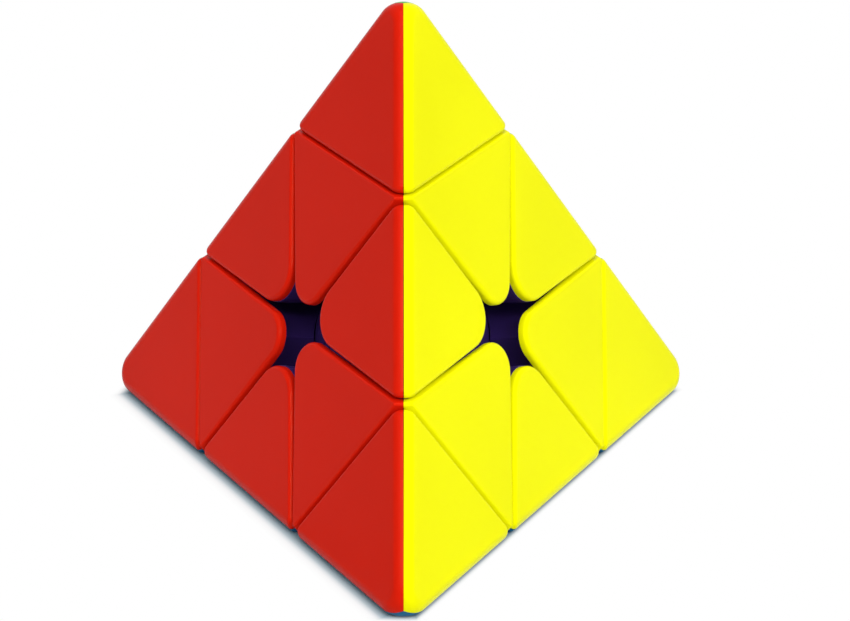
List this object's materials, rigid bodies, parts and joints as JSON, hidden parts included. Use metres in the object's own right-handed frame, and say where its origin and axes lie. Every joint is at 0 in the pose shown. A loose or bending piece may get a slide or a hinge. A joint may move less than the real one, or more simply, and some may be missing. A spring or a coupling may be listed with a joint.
{
  "type": "pyramid twisty puzzle",
  "caption": "Four-sided pyramid puzzle with coloured snap-in caps on dark bases, layers that turn on inner axles and corner tips that spin.",
  "frame": {"origin": "middle of the core, where the four turning axes cross", "axes": "+Z along the axis of the top corner; the pyramid edge between the red and yellow faces faces -Y; the flat blue face rests below"},
  "size_m": [0.099, 0.0867, 0.0818],
  "materials": {
    "red_plastic": "satin moulded ABS, red through the material",
    "yellow_plastic": "satin moulded ABS, yellow through the material",
    "blue_plastic": "satin moulded ABS, blue through the material",
    "green_plastic": "satin moulded ABS, green through the material",
    "base_plastic": "dark purple moulded ABS",
    "steel": "plain zinc-plated steel"
  },
  "bodies": {
    "core": {"core": "base_plastic", "axle_screws": "steel", "axle_springs": "steel", "axle_washers": "steel"},
    "top_axial": {"axial_top": "base_plastic", "axial_top_cap_green": "green_plastic", "axial_top_cap_yellow": "yellow_plastic", "axial_top_cap_red": "red_plastic"},
    "front_axial": {"axial_front": "base_plastic", "axial_front_cap_blue": "blue_plastic", "axial_front_cap_yellow": "yellow_plastic", "axial_front_cap_red": "red_plastic"},
    "left_axial": {"axial_left": "base_plastic", "axial_left_cap_blue": "blue_plastic", "axial_left_cap_green": "green_plastic", "axial_left_cap_red": "red_plastic"},
    "right_axial": {"axial_right": "base_plastic", "axial_right_cap_blue": "blue_plastic", "axial_right_cap_green": "green_plastic", "axial_right_cap_yellow": "yellow_plastic"},
    "top_tip": {"tip_top": "base_plastic", "tip_top_cap_green": "green_plastic", "tip_top_cap_yellow": "yellow_plastic", "tip_top_cap_red": "red_plastic"},
    "front_tip": {"tip_front": "base_plastic", "tip_front_cap_blue": "blue_plastic", "tip_front_cap_yellow": "yellow_plastic", "tip_front_cap_red": "red_plastic"},
    "left_tip": {"tip_left": "base_plastic", "tip_left_cap_blue": "blue_plastic", "tip_left_cap_green": "green_plastic", "tip_left_cap_red": "red_plastic"},
    "right_tip": {"tip_right": "base_plastic", "tip_right_cap_blue": "blue_plastic", "tip_right_cap_green": "green_plastic", "tip_right_cap_yellow": "yellow_plastic"},
    "edge_top_front": {"edge_top_front": "base_plastic", "edge_top_front_cap_yellow": "yellow_plastic", "edge_top_front_cap_red": "red_plastic"},
    "edge_top_left": {"edge_top_left": "base_plastic", "edge_top_left_cap_green": "green_plastic", "edge_top_left_cap_red": "red_plastic"},
    "edge_top_right": {"edge_top_right": "base_plastic", "edge_top_right_cap_green": "green_plastic", "edge_top_right_cap_yellow": "yellow_plastic"},
    "edge_front_left": {"edge_front_left": "base_plastic", "edge_front_left_cap_blue": "blue_plastic", "edge_front_left_cap_red": "red_plastic"},
    "edge_front_right": {"edge_front_right": "base_plastic", "edge_front_right_cap_blue": "blue_plastic", "edge_front_right_cap_yellow": "yellow_plastic"},
    "edge_left_right": {"edge_left_right": "base_plastic", "edge_left_right_cap_blue": "blue_plastic", "edge_left_right_cap_green": "green_plastic"}
  },
  "joints": [
    {"name": "top_layer_turn", "type": "hinge", "parent": "core", "child": "top_axial", "pos_m": [0, 0, 0], "axis": [0, 0, 1], "range_deg": [-240, 120]},
    {"name": "front_layer_turn", "type": "hinge", "parent": "core", "child": "front_axial", "pos_m": [0, 0, 0], "axis": [0, -0.9428, -0.3333], "range_deg": [-240, 120]},
    {"name": "left_layer_turn", "type": "hinge", "parent": "core", "child": "left_axial", "pos_m": [0, 0, 0], "axis": [-0.8165, 0.4714, -0.3333], "range_deg": [-240, 120]},
    {"name": "right_layer_turn", "type": "hinge", "parent": "core", "child": "right_axial", "pos_m": [0, 0, 0], "axis": [0.8165, 0.4714, -0.3333], "range_deg": [-240, 120]},
    {"name": "top_tip_turn", "type": "hinge", "parent": "top_axial", "child": "top_tip", "pos_m": [0, 0, 0], "axis": [0, 0, 1], "continuous": true},
    {"name": "front_tip_turn", "type": "hinge", "parent": "front_axial", "child": "front_tip", "pos_m": [0, 0, 0], "axis": [0, -0.9428, -0.3333], "continuous": true},
    {"name": "left_tip_turn", "type": "hinge", "parent": "left_axial", "child": "left_tip", "pos_m": [0, 0, 0], "axis": [-0.8165, 0.4714, -0.3333], "continuous": true},
    {"name": "right_tip_turn", "type": "hinge", "parent": "right_axial", "child": "right_tip", "pos_m": [0, 0, 0], "axis": [0.8165, 0.4714, -0.3333], "continuous": true},
    {"name": "edge_top_front_ride", "type": "hinge", "parent": "top_axial", "child": "edge_top_front", "pos_m": [0, 0, 0], "axis": [0, -0.9428, -0.3333], "range_deg": [-240, 120]},
    {"name": "edge_top_left_ride", "type": "hinge", "parent": "top_axial", "child": "edge_top_left", "pos_m": [0, 0, 0], "axis": [-0.8165, 0.4714, -0.3333], "range_deg": [-240, 120]},
    {"name": "edge_top_right_ride", "type": "hinge", "parent": "top_axial", "child": "edge_top_right", "pos_m": [0, 0, 0], "axis": [0.8165, 0.4714, -0.3333], "range_deg": [-240, 120]},
    {"name": "edge_front_left_ride", "type": "hinge", "parent": "left_axial", "child": "edge_front_left", "pos_m": [0, 0, 0], "axis": [0, -0.9428, -0.3333], "range_deg": [-240, 120]},
    {"name": "edge_front_right_ride", "type": "hinge", "parent": "front_axial", "child": "edge_front_right", "pos_m": [0, 0, 0], "axis": [0.8165, 0.4714, -0.3333], "range_deg": [-240, 120]},
    {"name": "edge_left_right_ride", "type": "hinge", "parent": "right_axial", "child": "edge_left_right", "pos_m": [0, 0, 0], "axis": [-0.8165, 0.4714, -0.3333], "range_deg": [-240, 120]}
  ],
  "couplings": [
    {"joint": "edge_top_front_ride", "follows": "front_layer_turn", "ratio": 1},
    {"joint": "edge_top_left_ride", "follows": "left_layer_turn", "ratio": 1},
    {"joint": "edge_top_right_ride", "follows": "right_layer_turn", "ratio": 1},
    {"joint": "edge_front_left_ride", "follows": "front_layer_turn", "ratio": 1},
    {"joint": "edge_front_right_ride", "follows": "right_layer_turn", "ratio": 1},
    {"joint": "edge_left_right_ride", "follows": "left_layer_turn", "ratio": 1}
  ]
}
